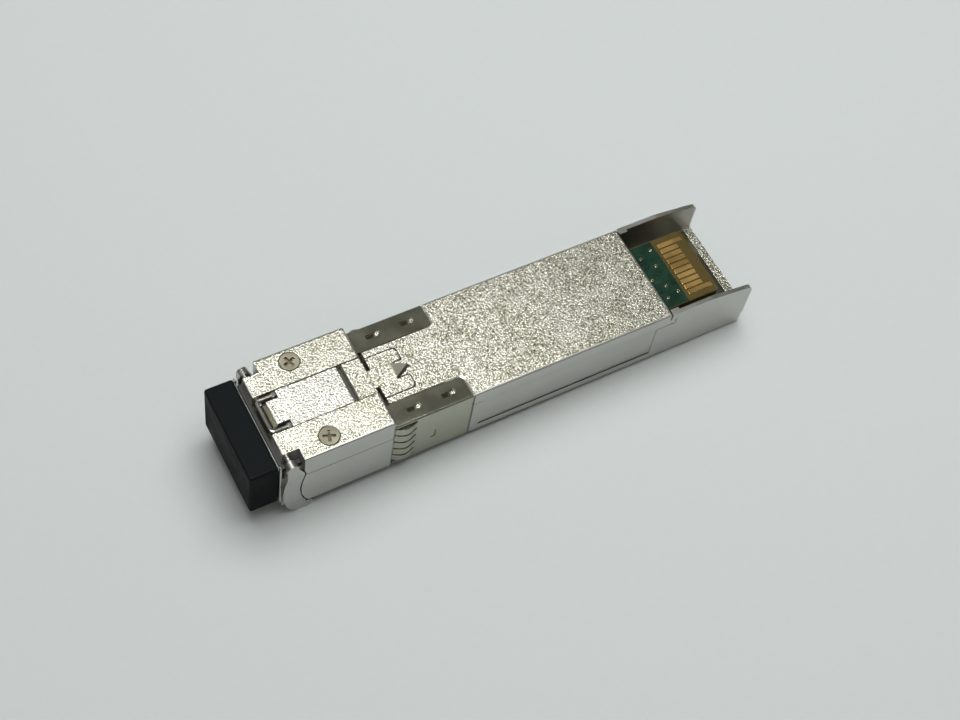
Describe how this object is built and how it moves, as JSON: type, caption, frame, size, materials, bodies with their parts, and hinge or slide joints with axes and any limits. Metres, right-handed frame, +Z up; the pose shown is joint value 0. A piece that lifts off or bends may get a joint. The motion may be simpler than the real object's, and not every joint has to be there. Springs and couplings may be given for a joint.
{
  "type": "optical transceiver module",
  "caption": "Pluggable duplex-LC optical transceiver with die-cast housings, bail lever latch, spring shielding collar, gold edge connector and black dust plug.",
  "frame": {"origin": "under the middle of the whole part, at the lowest line of the bail's handle bar", "axes": "+X from the dust plug to the edge connector, +Z up out of the latch side (the module lies on its label side), -Y the near side"},
  "size_m": [0.065, 0.0142, 0.0111],
  "materials": {
    "die_cast_nickel": "nickel plated zinc die casting, blasted broad faces and satin sides",
    "collar_steel": "smooth nickel plated spring steel",
    "bail_nickel": "satin nickel plated die casting",
    "pin_steel": "polished steel pin",
    "slide_nickel": "nickel plated, blasted top",
    "yoke_steel": "smooth plated steel",
    "rocker_nickel": "nickel plated, blasted top, smooth boss",
    "spring_steel": "spring steel",
    "screw_steel": "nickel plated screw, slightly browned",
    "receptacle_resin": "black moulded resin",
    "bezel_nickel": "satin nickel plated",
    "plug_rubber": "matte black moulded elastomer",
    "sleeve_steel": "turned stainless steel",
    "zirconia": "polished zirconia",
    "optics_kovar": "gold plated optics housing",
    "flex_polyimide": "amber polyimide flex circuit",
    "clamp_nickel": "nickel plated bracket",
    "gasket_rubber": "grey conductive elastomer",
    "board_laminate": "dark green solder mask with gold contacts",
    "chip_resin": "black epoxy package",
    "inductor_ferrite": "dark grey ferrite",
    "crystal_can": "plated can",
    "capacitor_ceramic": "tan ceramic",
    "thermal_silicone": "grey blue silicone pad"
  },
  "bodies": {
    "module": {"label_housing": "die_cast_nickel", "latch_housing": "die_cast_nickel", "emi_collar": "collar_steel", "latch_pin": "pin_steel", "latch_spring": "spring_steel", "screw_near": "screw_steel", "screw_far": "screw_steel", "lc_receptacle": "receptacle_resin", "port_bezel": "bezel_nickel", "tosa_sleeve": "sleeve_steel", "tosa_ferrule": "zirconia", "tosa_body": "optics_kovar", "tosa_can": "optics_kovar", "tosa_flex": "flex_polyimide", "rosa_sleeve": "sleeve_steel", "rosa_ferrule": "zirconia", "rosa_body": "optics_kovar", "rosa_can": "optics_kovar", "rosa_flex": "flex_polyimide", "optics_clamp": "clamp_nickel", "receptacle_gasket": "gasket_rubber", "circuit_board": "board_laminate", "driver_chip": "chip_resin", "amplifier_chip": "chip_resin", "controller_chip": "chip_resin", "memory_chip": "chip_resin", "load_switch": "chip_resin", "power_inductor": "inductor_ferrite", "crystal": "crystal_can", "capacitor_front": "capacitor_ceramic", "capacitor_rear": "capacitor_ceramic", "capacitor_label": "capacitor_ceramic", "thermal_pad": "thermal_silicone"},
    "bail": {"bail_lever": "bail_nickel", "bail_axle": "pin_steel"},
    "release_slide": {"release_slide": "slide_nickel", "slide_yoke": "yoke_steel"},
    "latch_rocker": {"latch_rocker": "rocker_nickel"},
    "dust_plug": {"dust_plug": "plug_rubber"}
  },
  "joints": [
    {"name": "bail_hinge", "type": "hinge", "parent": "module", "child": "bail", "pos_m": [-0.0277, 0, 0.00995], "axis": [0, 1, 0], "range_deg": [0, 90]},
    {"name": "release_slide", "type": "slide", "parent": "module", "child": "release_slide", "axis": [1, 0, 0], "range_m": [0, 0.0005]},
    {"name": "latch_pivot", "type": "hinge", "parent": "module", "child": "latch_rocker", "pos_m": [-0.01545, 0, 0.00905], "axis": [0, 1, 0], "range_deg": [0, 9], "deforming": ["latch_spring"]},
    {"name": "dust_plug_pull", "type": "slide", "parent": "module", "child": "dust_plug", "axis": [-1, 0, 0], "range_m": [0, 0.0038]}
  ],
  "couplings": [
    {"joint": "bail_hinge", "follows": "release_slide", "rad_per_m": 3141.6},
    {"joint": "latch_pivot", "follows": "release_slide", "rad_per_m": 314.16}
  ]
}
